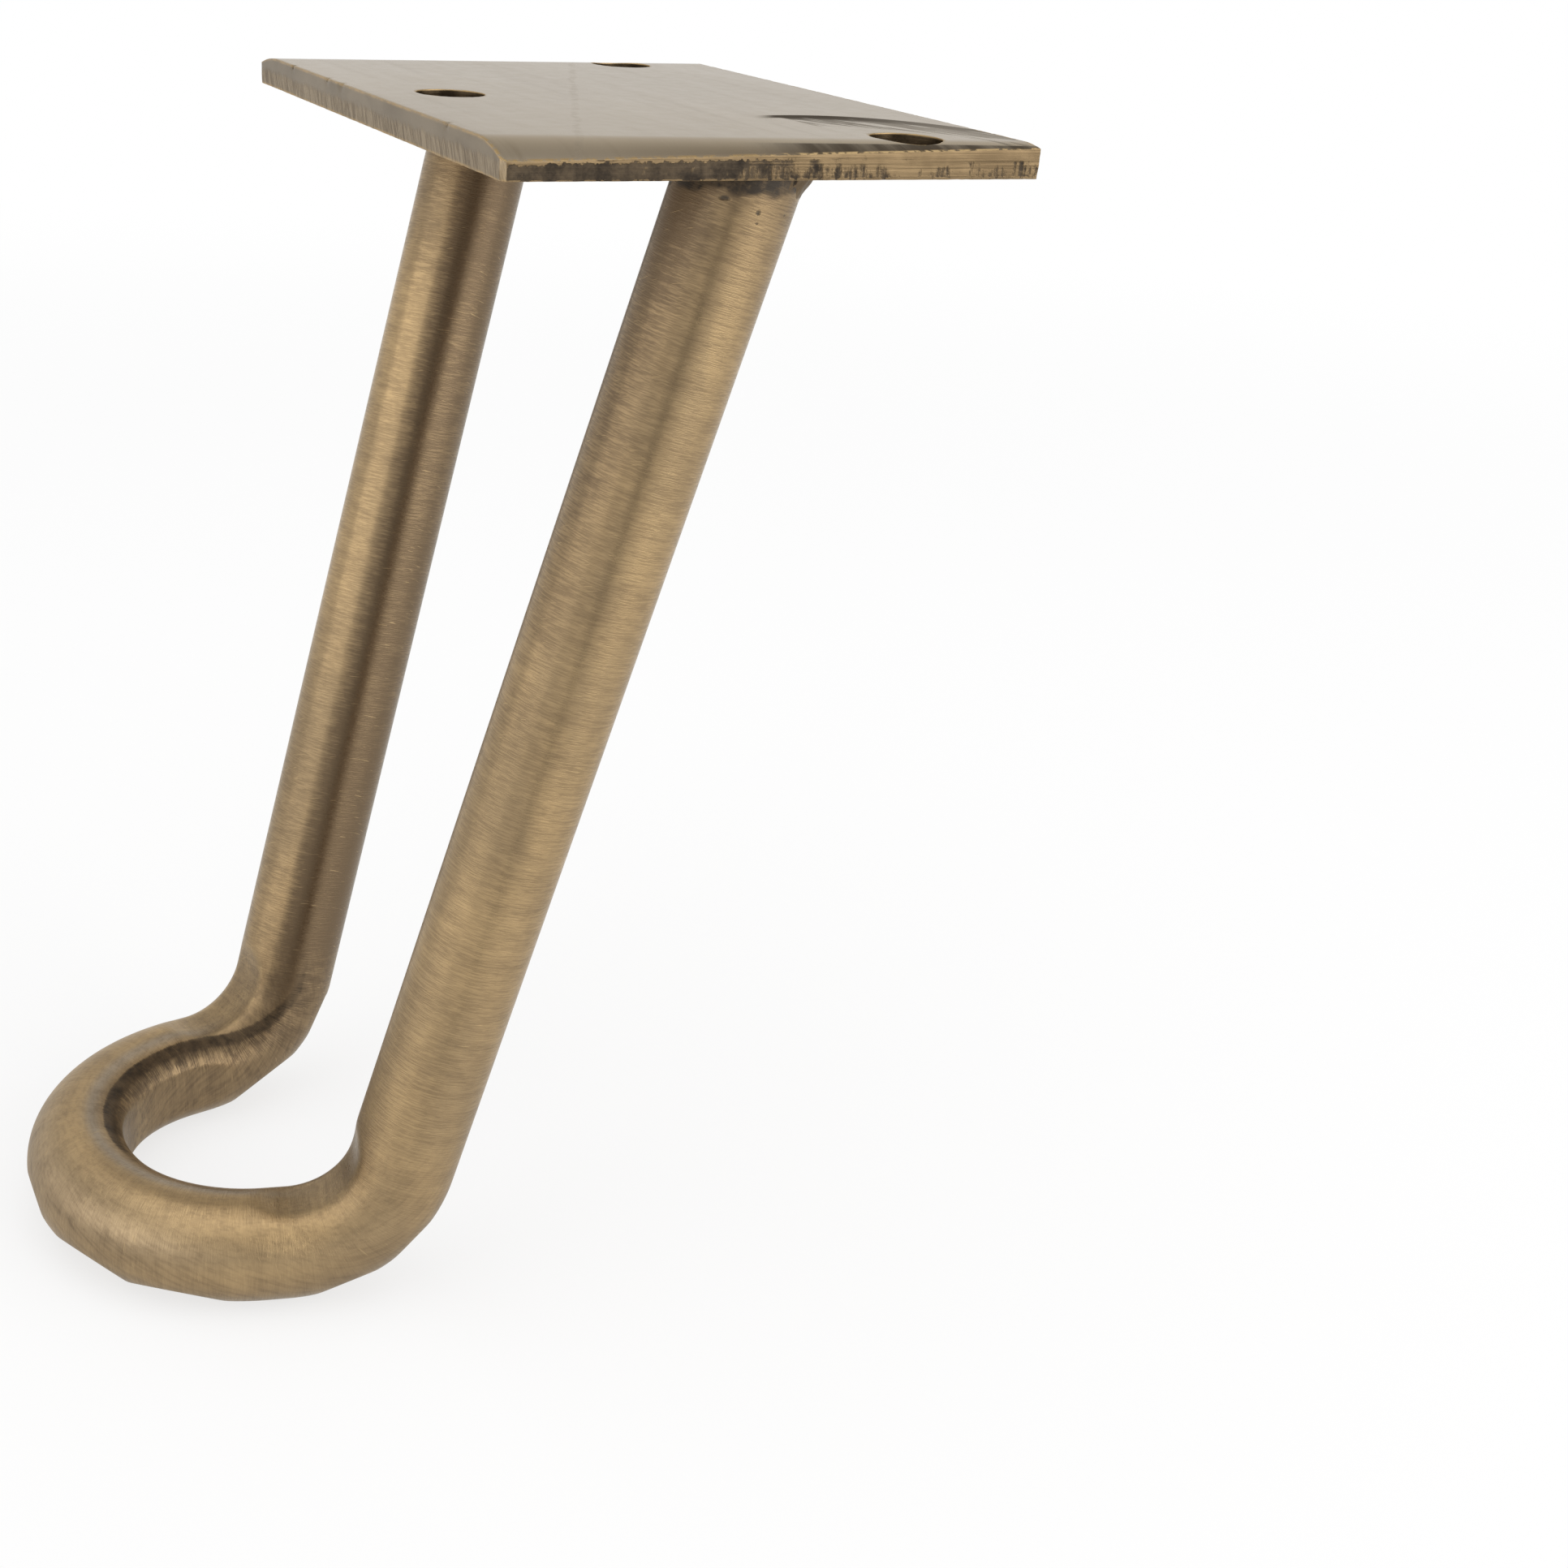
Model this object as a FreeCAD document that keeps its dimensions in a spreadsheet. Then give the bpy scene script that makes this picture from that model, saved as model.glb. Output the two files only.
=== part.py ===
import FreeCAD, Part
import math
import os

import Sketcher
from FreeCAD import Placement, Rotation, Vector

# Hairpin table leg: one round bar bent into a kicked hairpin and welded under a sheared mounting plate.
# Frame: the origin is the centre of the plate's mounting face and +Z is up, into the table top.
# The foot kicks out towards -X, the plate's front edge is at -Y, and lengths are in millimetres.

document = FreeCAD.newDocument("hairpin_table_leg")

# Driving dimensions
DRIVING = [
    ("plate_length", 55.0, "plate along X, from the outer edge over the foot to the inner edge"),
    ("plate_width", 76.0, "plate along Y, from the front edge to the back edge"),
    ("plate_thickness", 3.2, "gauge of the plate"),
    ("hole_bore", 7.0, "diameter of the three plain screw holes"),
    ("outer_hole_setback", 9.2, "single hole: centre to the plate's outer edge"),
    ("inner_hole_setback", 12.0, "pair of holes: centres to the plate's inner edge"),
    ("inner_hole_margin", 5.0, "pair of holes: centres to the front and back edges"),
    ("front_roll_drop", 1.5, "how far shearing drew the front edge down at its outer end"),
    ("back_roll_drop", 1.0, "how far shearing drew the back edge down at its outer end"),
    ("inner_roll_drop", 0.35, "how far shearing drew both edges down at their inner ends"),
    ("outer_roll_reach", 6.5, "how far in the rolled edges reach at their outer ends"),
    ("inner_roll_reach", 3.0, "how far in the rolled edges reach at their inner ends"),
    ("edge_break", 0.25, "rubbed radius along the outer and inner edges of the mounting face"),
    ("rod_diameter", 12.0, "round bar"),
    ("rod_inset", 0.1, "bar ends: outer side to the plate's front and back edges"),
    ("rod_setback", 26.2, "bar ends: centres to the plate's outer edge"),
    ("leg_height", 126.0, "mounting face to the floor"),
    ("kick_run", 30.3, "how far the uprights lean out on their way down"),
    ("kick_spread", 44.0, "distance across the two kicks, centre to centre"),
    ("kick_radius", 12.7, "centreline radius of each kick bend"),
    ("foot_length", 27.6, "corner of the kicks to the toe, on the centreline"),
    ("foot_taper", 12.0, "degrees by which each limb of the foot turns in"),
    ("kick_land_depth", 0.9, "depth of the flat that the bending pin pressed inside each kick"),
    ("toe_land_depth", 1.2, "depth of the flat that the bending pin pressed inside the toe"),
    ("weld_leg", 2.0, "widest reach of each weld bead on the plate"),
    ("weld_bias", 1.3, "how far each bead sits to the inner side of its bar end"),
    ("weld_depth", 4.0, "how far each bead runs down its bar end"),
]

sizes = document.addObject("Spreadsheet::Sheet", "sizes")
for row, (alias, value, note) in enumerate(DRIVING, start=1):
    sizes.set(f"A{row}", alias)
    sizes.set(f"B{row}", str(value))
    sizes.set(f"C{row}", note)
    sizes.setAlias(f"B{row}", alias)
document.recompute()


def size(alias):
    return float(sizes.get(alias))


def bind(thing, **expressions):
    for name, expression in expressions.items():
        thing.setExpression(name, expression)


# Helpers for sketches
def new_sketch(body, name, role):
    planes = body.Origin.OriginFeatures
    sketch = body.newObject("Sketcher::SketchObject", name)
    sketch.AttachmentSupport = [(next(plane for plane in planes if plane.Role == role), "")]
    sketch.MapMode = "FlatFace"
    return sketch


def add_dimension(sketch, name, expression, *constraint):
    index = sketch.addConstraint(Sketcher.Constraint(*constraint))
    sketch.renameConstraint(index, name)
    sketch.setExpression(f"Constraints.{name}", expression)


# Mounting plate: a sheared blank with three plain holes
plate = document.addObject("PartDesign::Body", "mounting_plate")
plate.Label = "mounting_plate"

START, END, CENTRE = 1, 2, 3
ROOT, X_AXIS = -1, -1


def draw_blank():
    outline = new_sketch(plate, "blank_outline", "XY_Plane")
    half_length = size("plate_length") / 2
    half_width = size("plate_width") / 2
    corners = [
        Vector(-half_length, -half_width, 0),
        Vector(half_length, -half_width, 0),
        Vector(half_length, half_width, 0),
        Vector(-half_length, half_width, 0),
    ]
    for start, end in zip(corners, corners[1:] + corners[:1]):
        outline.addGeometry(Part.LineSegment(start, end), False)
    for side in range(4):
        outline.addConstraint(Sketcher.Constraint("Coincident", side, END, (side + 1) % 4, START))
        outline.addConstraint(Sketcher.Constraint(("Horizontal", "Vertical")[side % 2], side))
    outline.addConstraint(Sketcher.Constraint("Symmetric", 0, START, 2, START, ROOT, START))
    add_dimension(outline, "length", "sizes.plate_length", "DistanceX", 0, START, 0, END, 2 * half_length)
    add_dimension(outline, "width", "sizes.plate_width", "DistanceY", 1, START, 1, END, 2 * half_width)
    return outline


def draw_holes():
    drilling = new_sketch(plate, "hole_centres", "XY_Plane")
    half_length = size("plate_length") / 2
    half_width = size("plate_width") / 2
    radius = size("hole_bore") / 2
    outer_x = size("outer_hole_setback") - half_length
    inner_x = half_length - size("inner_hole_setback")
    inner_y = half_width - size("inner_hole_margin")
    for x, y in ((outer_x, 0), (inner_x, -inner_y), (inner_x, inner_y)):
        drilling.addGeometry(Part.Circle(Vector(x, y, 0), Vector(0, 0, 1), radius), False)
    outer, front, back = range(3)
    drilling.addConstraint(Sketcher.Constraint("PointOnObject", outer, CENTRE, X_AXIS))
    drilling.addConstraint(Sketcher.Constraint("Symmetric", front, CENTRE, back, CENTRE, X_AXIS))
    drilling.addConstraint(Sketcher.Constraint("Equal", outer, front))
    drilling.addConstraint(Sketcher.Constraint("Equal", front, back))
    add_dimension(drilling, "bore", "sizes.hole_bore", "Diameter", outer, 2 * radius)
    add_dimension(drilling, "outer_place", "sizes.plate_length / 2 - sizes.outer_hole_setback",
                  "DistanceX", outer, CENTRE, ROOT, START, -outer_x)
    add_dimension(drilling, "inner_place", "sizes.plate_length / 2 - sizes.inner_hole_setback",
                  "DistanceX", ROOT, START, front, CENTRE, inner_x)
    add_dimension(drilling, "pair_spacing", "sizes.plate_width - 2 * sizes.inner_hole_margin",
                  "DistanceY", front, CENTRE, back, CENTRE, 2 * inner_y)
    return drilling


def draw_roll(edge, end):
    """Section of what shearing drew off one edge: all above an arc that leaves the face flush."""
    towards = {"front": -1, "back": 1}[edge]
    station = {"outer": -1, "inner": 1}[end]
    drop_alias = f"{edge}_roll_drop" if end == "outer" else "inner_roll_drop"
    reach_alias = f"{end}_roll_reach"
    drop, reach, clear = size(drop_alias), size(reach_alias), size("plate_thickness")
    lip = Vector(towards * size("plate_width") / 2, -drop, 0)
    flush = Vector(lip.x - towards * reach, 0, 0)
    radius = (reach ** 2 + drop ** 2) / (2 * drop)
    half_turn = math.atan2(reach, radius - drop) / 2
    crown = Vector(towards * math.sin(half_turn), math.cos(half_turn) - 1, 0) * radius + flush

    section = new_sketch(plate, f"{edge}_roll_{end}", "YZ_Plane")
    section.AttachmentOffset = Placement(Vector(0, 0, station * size("plate_length") / 2), Rotation())
    section.setExpression(".AttachmentOffset.Base.z", f"{station} * sizes.plate_length / 2")
    beyond = lip.x + towards * clear
    corners = [lip, Vector(beyond, -drop, 0), Vector(beyond, clear, 0), Vector(flush.x, clear, 0), flush]
    for start, stop in zip(corners, corners[1:]):
        section.addGeometry(Part.LineSegment(start, stop), False)
    section.addGeometry(Part.Arc(flush, crown, lip), False)
    under_lip, outside, above, down, arc = range(5)
    arc_flush, arc_lip = (START, END) if edge == "front" else (END, START)
    for first, second in ((under_lip, outside), (outside, above), (above, down)):
        section.addConstraint(Sketcher.Constraint("Coincident", first, END, second, START))
    section.addConstraint(Sketcher.Constraint("Coincident", down, END, arc, arc_flush))
    section.addConstraint(Sketcher.Constraint("Coincident", under_lip, START, arc, arc_lip))
    section.addConstraint(Sketcher.Constraint("Horizontal", under_lip))
    section.addConstraint(Sketcher.Constraint("Vertical", outside))
    section.addConstraint(Sketcher.Constraint("Horizontal", above))
    section.addConstraint(Sketcher.Constraint("Vertical", down))
    section.addConstraint(Sketcher.Constraint("Vertical", arc, CENTRE, down, END))
    section.addConstraint(Sketcher.Constraint("PointOnObject", down, END, X_AXIS))

    def across(name, expression, inner, outer, value):
        ends = (inner, outer) if edge == "back" else (outer, inner)
        add_dimension(section, name, expression, "DistanceX", *ends[0], *ends[1], value)

    across("edge_place", "sizes.plate_width / 2", (ROOT, START), (under_lip, START), abs(lip.x))
    across("reach", f"sizes.{reach_alias}", (down, END), (under_lip, START), reach)
    across("run_off", "sizes.plate_thickness", (under_lip, START), (under_lip, END), clear)
    add_dimension(section, "drop", f"sizes.{drop_alias}", "DistanceY", under_lip, START, down, END, drop)
    add_dimension(section, "rise", "sizes.plate_thickness", "DistanceY", down, END, down, START, clear)
    return section


def end_edges(shape):
    """Names of the edges round the mounting face at the plate's outer and inner ends."""
    half_length = size("plate_length") / 2
    underside = -size("plate_thickness")
    names = []
    for index, edge in enumerate(shape.Edges, start=1):
        box = edge.BoundBox
        at_end = box.XLength < 1e-4 and abs(abs(box.Center.x) - half_length) < 1e-4
        if at_end and box.YLength > 1e-4 and box.ZMin > underside + 1e-4:
            names.append(f"Edge{index}")
    return names


blank = plate.newObject("PartDesign::Pad", "blank")
blank.Profile = draw_blank()
blank.Reversed = True
bind(blank, Length="sizes.plate_thickness")

holes = plate.newObject("PartDesign::Pocket", "holes")
holes.Profile = draw_holes()
holes.Type = "ThroughAll"
document.recompute()

for edge in ("front", "back"):
    roll = plate.newObject("PartDesign::SubtractiveLoft", f"{edge}_roll")
    roll.Profile = draw_roll(edge, "outer")
    roll.Sections = [draw_roll(edge, "inner")]
    roll.Ruled = True
    document.recompute()

rubbed = plate.newObject("PartDesign::Fillet", "rubbed_edges")
rubbed.Base = (roll, end_edges(roll.Shape))
bind(rubbed, Radius="sizes.edge_break")
plate.Tip = rubbed
document.recompute()

# Route of the bar: down one upright, round its kick, round the toe and back up the other side
NEAR, FAR = -1, 1
ROD_RADIUS = size("rod_diameter") / 2
TAPER = math.radians(size("foot_taper"))
HALF_SPREAD = size("kick_spread") / 2
TOE_RADIUS = (HALF_SPREAD * math.cos(TAPER) - size("foot_length") * math.sin(TAPER)) / (1 - math.sin(TAPER))


def bar_end(side):
    """Centre of the bar where it meets the underside of the plate."""
    x = size("rod_setback") - size("plate_length") / 2
    y = size("plate_width") / 2 - size("rod_inset") - ROD_RADIUS
    return Vector(x, side * y, -size("plate_thickness"))


def kick_corner(side):
    """Where the centrelines of an upright and its limb of the foot would cross."""
    return Vector(bar_end(side).x - size("kick_run"), side * HALF_SPREAD, ROD_RADIUS - size("leg_height"))


def toe_centre():
    corner = kick_corner(NEAR)
    return Vector(corner.x - size("foot_length") + TOE_RADIUS, 0, corner.z)


def toe_start(side):
    """Where a limb of the foot runs into the arc of the toe."""
    return toe_centre() + TOE_RADIUS * Vector(-math.sin(TAPER), side * math.cos(TAPER), 0)


def kick_bend(side):
    """Start, middle and stop of a kick's arc, its centre and the axis of its bending pin."""
    corner = kick_corner(side)
    down = (corner - bar_end(side)).normalize()
    along = (toe_start(side) - corner).normalize()
    half_turn = down.getAngle(along) / 2
    tangent = size("kick_radius") * math.tan(half_turn)
    centre = corner + (along - down).normalize() * size("kick_radius") / math.cos(half_turn)
    middle = centre + (corner - centre).normalize() * size("kick_radius")
    return corner - down * tangent, middle, corner + along * tangent, centre, down.cross(along).normalize()


def upright_start(side):
    """End of the route, run on past the plate so that the bar can be trimmed under it."""
    up = (bar_end(side) - kick_corner(side)).normalize()
    return bar_end(side) + up * size("rod_diameter")


def rod_route():
    near_start, near_middle, near_stop = kick_bend(NEAR)[:3]
    far_start, far_middle, far_stop = kick_bend(FAR)[:3]
    toe = toe_centre() - Vector(TOE_RADIUS, 0, 0)
    pieces = [
        Part.LineSegment(upright_start(NEAR), near_start),
        Part.Arc(near_start, near_middle, near_stop),
        Part.LineSegment(near_stop, toe_start(NEAR)),
        Part.Arc(toe_start(NEAR), toe, toe_start(FAR)),
        Part.LineSegment(toe_start(FAR), far_stop),
        Part.Arc(far_stop, far_middle, far_start),
        Part.LineSegment(far_start, upright_start(FAR)),
    ]
    return Part.Wire([piece.toShape() for piece in pieces])


def turned_to(direction, base):
    return Placement(base, Rotation(Vector(0, 0, 1), direction))


# Bent rod: a round bar swept along the route, pressed flat by the bending pins and trimmed to the plate
route = document.addObject("Part::Feature", "rod_route")
route.Shape = rod_route()

section = document.addObject("Part::Circle", "rod_section")
bind(section, Radius="sizes.rod_diameter / 2")
section.Placement = turned_to(kick_corner(NEAR) - bar_end(NEAR), upright_start(NEAR))

bar = document.addObject("Part::Sweep", "round_bar")
bar.Sections = [section]
bar.Spine = (route, [])
bar.Solid = True
bar.Frenet = False

tools = []
for side, name in ((NEAR, "near_kick_pin"), (FAR, "far_kick_pin")):
    centre, axis = kick_bend(side)[3:]
    pin = document.addObject("Part::Cylinder", name)
    bind(pin, Radius="sizes.kick_radius - sizes.rod_diameter / 2 + sizes.kick_land_depth",
         Height="sizes.rod_diameter")
    pin.Placement = turned_to(axis, centre - axis * ROD_RADIUS)
    tools.append(pin)

toe_pin = document.addObject("Part::Cylinder", "toe_pin")
toe_pin.Radius = TOE_RADIUS - ROD_RADIUS + size("toe_land_depth")
bind(toe_pin, Height="sizes.rod_diameter")
toe_pin.Placement = turned_to(Vector(0, 0, 1), toe_centre() - Vector(0, 0, ROD_RADIUS))
tools.append(toe_pin)

trim = document.addObject("Part::Box", "end_trim")
bind(trim, Length="2 * sizes.plate_length", Width="2 * sizes.plate_width", Height="2 * sizes.rod_diameter")
trim.setExpression(".Placement.Base.x", "-sizes.plate_length")
trim.setExpression(".Placement.Base.y", "-sizes.plate_width")
trim.setExpression(".Placement.Base.z", "-sizes.plate_thickness")
tools.append(trim)

removed = document.addObject("Part::MultiFuse", "pressed_and_trimmed")
removed.Shapes = tools

rod = document.addObject("Part::Cut", "bent_rod")
rod.Label = "bent_rod"
rod.Base = bar
rod.Tool = removed

# Weld beads: a crescent round the inner side of each bar end, thickest towards the middle of the plate
footprint = document.addObject("Part::Box", "plate_footprint")
bind(footprint, Length="sizes.plate_length", Width="sizes.plate_width", Height="sizes.weld_depth")
footprint.setExpression(".Placement.Base.x", "-sizes.plate_length / 2")
footprint.setExpression(".Placement.Base.y", "-sizes.plate_width / 2")
footprint.setExpression(".Placement.Base.z", "-sizes.plate_thickness - sizes.weld_depth")


def weld_bead(side, name):
    inward = Vector(1, -side, 0).normalize() * size("weld_bias")
    cone = document.addObject("Part::Cone", f"{name}_cone")
    bind(cone, Radius1="sizes.rod_diameter / 2 - sizes.weld_leg",
         Radius2="sizes.rod_diameter / 2 + sizes.weld_leg - sizes.weld_bias", Height="sizes.weld_depth")
    cone.Placement.Base = bar_end(side) + inward - Vector(0, 0, size("weld_depth"))
    under_plate = document.addObject("Part::MultiCommon", f"{name}_under_plate")
    under_plate.Shapes = [cone, footprint]
    bead = document.addObject("Part::Cut", name)
    bead.Label = name
    bead.Base = under_plate
    bead.Tool = rod
    return bead


near_weld = weld_bead(NEAR, "near_weld")
far_weld = weld_bead(FAR, "far_weld")
document.recompute()

# Check every object, then write each sub-part
for thing in document.Objects:
    faults = [state for state in thing.State if state in ("Invalid", "Error")]
    if faults:
        raise RuntimeError(f"{thing.Name} is {', '.join(faults)}")

SUB_PARTS = [plate, rod, near_weld, far_weld]
for sub_part in SUB_PARTS:
    shape = sub_part.Shape
    if shape.isNull() or not shape.isValid() or len(shape.Solids) != 1:
        raise RuntimeError(f"{sub_part.Label} is not one valid solid")

os.makedirs("parts", exist_ok=True)
for sub_part in SUB_PARTS:
    sub_part.Shape.exportStep(f"parts/{sub_part.Label}.step")
    box = sub_part.Shape.BoundBox
    print(sub_part.Label, "volume", round(sub_part.Shape.Volume, 2), "box",
          [round(value, 3) for value in (box.XMin, box.YMin, box.ZMin, box.XMax, box.YMax, box.ZMax)])
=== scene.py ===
import math
from collections import namedtuple
from functools import partial, reduce

import bmesh
import bpy
from mathutils import Matrix, Vector, noise


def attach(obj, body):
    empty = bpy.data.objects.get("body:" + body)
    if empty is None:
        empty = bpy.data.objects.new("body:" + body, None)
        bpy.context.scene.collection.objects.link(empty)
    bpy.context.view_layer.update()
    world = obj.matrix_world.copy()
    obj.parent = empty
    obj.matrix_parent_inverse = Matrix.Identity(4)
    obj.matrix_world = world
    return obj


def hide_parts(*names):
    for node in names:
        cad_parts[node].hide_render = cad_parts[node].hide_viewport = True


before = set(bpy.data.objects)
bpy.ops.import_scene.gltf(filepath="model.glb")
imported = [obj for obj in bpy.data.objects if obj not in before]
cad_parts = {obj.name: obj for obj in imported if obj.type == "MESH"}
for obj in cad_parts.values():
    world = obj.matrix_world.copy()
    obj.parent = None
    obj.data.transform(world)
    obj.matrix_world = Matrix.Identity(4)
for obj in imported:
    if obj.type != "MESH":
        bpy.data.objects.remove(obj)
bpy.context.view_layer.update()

scene = bpy.context.scene
scene.view_settings.view_transform = "Standard"

# Sizes of the leg, in metres. X runs from the foot's side to the inner side, Y from the front to the back.
MM = 0.001
PLATE_LENGTH, PLATE_WIDTH, PLATE_GAUGE = 55 * MM, 76 * MM, 3.2 * MM
HOLE_RADIUS = 3.5 * MM
HOLES = (Vector((-18.3, 0, 0)) * MM, Vector((15.5 * MM, -33 * MM, 0)), Vector((15.5 * MM, 33 * MM, 0)))
FRONT_ROLL_DROP, BACK_ROLL_DROP, INNER_ROLL_DROP = 1.5 * MM, 1.0 * MM, 0.35 * MM
OUTER_ROLL_REACH, INNER_ROLL_REACH = 6.5 * MM, 3 * MM
BAR_RADIUS = 6 * MM
FAR_BAR_END = Vector((-1.3, 31.9, -3.2)) * MM
FLOOR_LEVEL = -126 * MM
KICK_X, KICK_RADIUS = -31.6 * MM, 12.7 * MM
HALF_SPREAD = 22 * MM
FOOT_LENGTH = 27.6 * MM
TAPER = math.radians(12)
TOE_RADIUS = (HALF_SPREAD * math.cos(TAPER) - FOOT_LENGTH * math.sin(TAPER)) / (1 - math.sin(TAPER))
# The two uprights, by the side of the plate that they stand at
NEAR, FAR = -1, 1


def mix(low, high, share):
    return low + (high - low) * share


def smooth_step(low, high, value):
    share = min(1.0, max(0.0, (value - low) / (high - low)))
    return share * share * (3 - 2 * share)


def smooth_max(a, b, width):
    overlap = max(0.0, width - abs(a - b)) / width
    return max(a, b) + overlap ** 3 * width / 6


def bell(value, middle, spread):
    return math.exp(-((value - middle) / spread) ** 2)


def flat_gap(first, second):
    return math.hypot(first.x - second.x, first.y - second.y)


def bar_end(side):
    return Vector((FAR_BAR_END.x, side * FAR_BAR_END.y, FAR_BAR_END.z))


def kick_corner(side):
    return Vector((KICK_X, side * HALF_SPREAD, FLOOR_LEVEL + BAR_RADIUS))


TOE_CENTRE = kick_corner(NEAR)
TOE_CENTRE.x += TOE_RADIUS - FOOT_LENGTH
TOE_CENTRE.y = 0
Bend = namedtuple("Bend", "start stop centre axis angle")


def toe_start(side):
    return TOE_CENTRE + TOE_RADIUS * Vector((-math.sin(TAPER), side * math.cos(TAPER), 0))


def kick_bend(side):
    """The bend of a kick, on the way down the upright and out along the foot."""
    corner = kick_corner(side)
    down = (corner - bar_end(side)).normalized()
    out = (toe_start(side) - corner).normalized()
    angle = down.angle(out)
    tangent = KICK_RADIUS * math.tan(angle / 2)
    centre = corner + (out - down).normalized() * KICK_RADIUS / math.cos(angle / 2)
    return Bend(corner - down * tangent, corner + out * tangent, centre, down.cross(out).normalized(), angle)


# Camera: where the photograph was taken from
CAMERA_PLACE = Vector((-97.23, -214.28, 23.23)) * MM
CAMERA_RIGHT = Vector((0.911165, -0.408224, 0.055968))
CAMERA_UP = Vector((0.103621, 0.358483, 0.927768))
CAMERA_BACK = Vector((-0.3988, -0.83955, 0.368937))
SENSOR_WIDTH, LENS, LENS_SHIFT = 36, 49.83, (0.1066, -0.0414)


def place_camera():
    lens = bpy.data.cameras.new("camera")
    lens.sensor_width, lens.lens, lens.clip_start = SENSOR_WIDTH, LENS, 10 * MM
    lens.shift_x, lens.shift_y = LENS_SHIFT
    camera = bpy.data.objects.new("camera", lens)
    scene.collection.objects.link(camera)
    scene.camera = camera
    turn = Matrix((CAMERA_RIGHT, CAMERA_UP, CAMERA_BACK)).transposed()
    camera.matrix_world = Matrix.Translation(CAMERA_PLACE) @ turn.to_4x4()


# Helpers for materials
def feed(tree, node, inputs):
    """Gives a node's inputs their values, or links them to the outputs that feed them."""
    for name, value in inputs.items():
        if isinstance(value, bpy.types.NodeSocket):
            tree.links.new(value, node.inputs[name])
        else:
            node.inputs[name].default_value = value


def add(tree, kind, inputs=None, **settings):
    """A node of that kind, with its inputs fed and its settings made."""
    node = tree.nodes.new(kind)
    for name, value in settings.items():
        setattr(node, name, value)
    feed(tree, node, inputs or {})
    return node


def maths(tree, operation, *values, clamp=False):
    node = add(tree, "ShaderNodeMath", dict(enumerate(values)), operation=operation, use_clamp=clamp)
    return node.outputs[0]


def times(tree, *values):
    return reduce(partial(maths, tree, "MULTIPLY"), values)


def greatest(tree, *values):
    return reduce(partial(maths, tree, "MAXIMUM"), values)


def above(tree, value, level):
    """How far a value is above a level."""
    return maths(tree, "SUBTRACT", value, level)


def rest(tree, share, clamp=False):
    """What a share leaves of the whole."""
    return maths(tree, "SUBTRACT", 1.0, share, clamp=clamp)


def add_up(tree, start, *parts, clamp=False):
    """The start and every part's value times its weight, kept within 0 and 1 by clamp."""
    for number, (value, weight) in enumerate(parts, 1):
        start = maths(tree, "MULTIPLY_ADD", value, weight, start, clamp=clamp and number == len(parts))
    return start


def ramp(tree, value, low, high, to_low=0.0, to_high=1.0):
    """The value between low and high, eased and brought between to_low and to_high."""
    inputs = {"Value": value, "From Min": low, "From Max": high, "To Min": to_low, "To Max": to_high}
    return add(tree, "ShaderNodeMapRange", inputs, interpolation_type="SMOOTHSTEP").outputs["Result"]


def between(tree, share, low, high):
    """A value that goes from low to high by share."""
    return add_up(tree, low, (share, high - low))


def blend(tree, share, low, high):
    """A colour that goes from low to high by share."""
    return add(tree, "ShaderNodeMix", {"Factor": share, 6: low, 7: high}, data_type="RGBA").outputs[2]


def painted(tree, colour, *coats):
    """The colour with each coat laid over it by its share."""
    for share, coat in coats:
        colour = blend(tree, share, colour, coat)
    return colour


def on_vectors(tree, operation, *vectors):
    node = add(tree, "ShaderNodeVectorMath", dict(enumerate(vectors)), operation=operation)
    return node.outputs["Value" if operation == "LENGTH" else "Vector"]


def stretched(tree, place, scale):
    """The place, scaled differently along each axis."""
    return on_vectors(tree, "MULTIPLY", place, scale)


def turned(tree, place, angle, axis="Z_AXIS", centre=(0, 0, 0)):
    inputs = {"Vector": place, "Center": centre, "Angle": angle}
    return add(tree, "ShaderNodeVectorRotate", inputs, rotation_type=axis).outputs[0]


def split(tree, place):
    return add(tree, "ShaderNodeSeparateXYZ", {0: place}).outputs


def grain(tree, place, Scale=1.0, **inputs):
    return add(tree, "ShaderNodeTexNoise", {"Vector": place, "Scale": Scale, **inputs}).outputs["Fac"]


def object_place(tree):
    return add(tree, "ShaderNodeTexCoord").outputs["Object"]


def attribute(tree, name, output="Fac"):
    return add(tree, "ShaderNodeAttribute", attribute_name=name).outputs[output]


def bump(tree, height, distance, **inputs):
    return add(tree, "ShaderNodeBump", {"Height": height, "Distance": distance, **inputs}).outputs["Normal"]


def new_group(name, inputs, outputs):
    """An empty shader group, what it is given and what it puts out."""
    group = bpy.data.node_groups.new(name, "ShaderNodeTree")
    for label, value in inputs.items():
        kind = "NodeSocketFloat" if isinstance(value, float) else "NodeSocketVector"
        group.interface.new_socket(label, in_out="INPUT", socket_type=kind).default_value = value
    for label in outputs:
        group.interface.new_socket(label, in_out="OUTPUT", socket_type="NodeSocketFloat")
    return group, group.nodes.new("NodeGroupInput").outputs, group.nodes.new("NodeGroupOutput")


def use(tree, group, **inputs):
    return add(tree, "ShaderNodeGroup", inputs, node_tree=group).outputs


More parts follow.
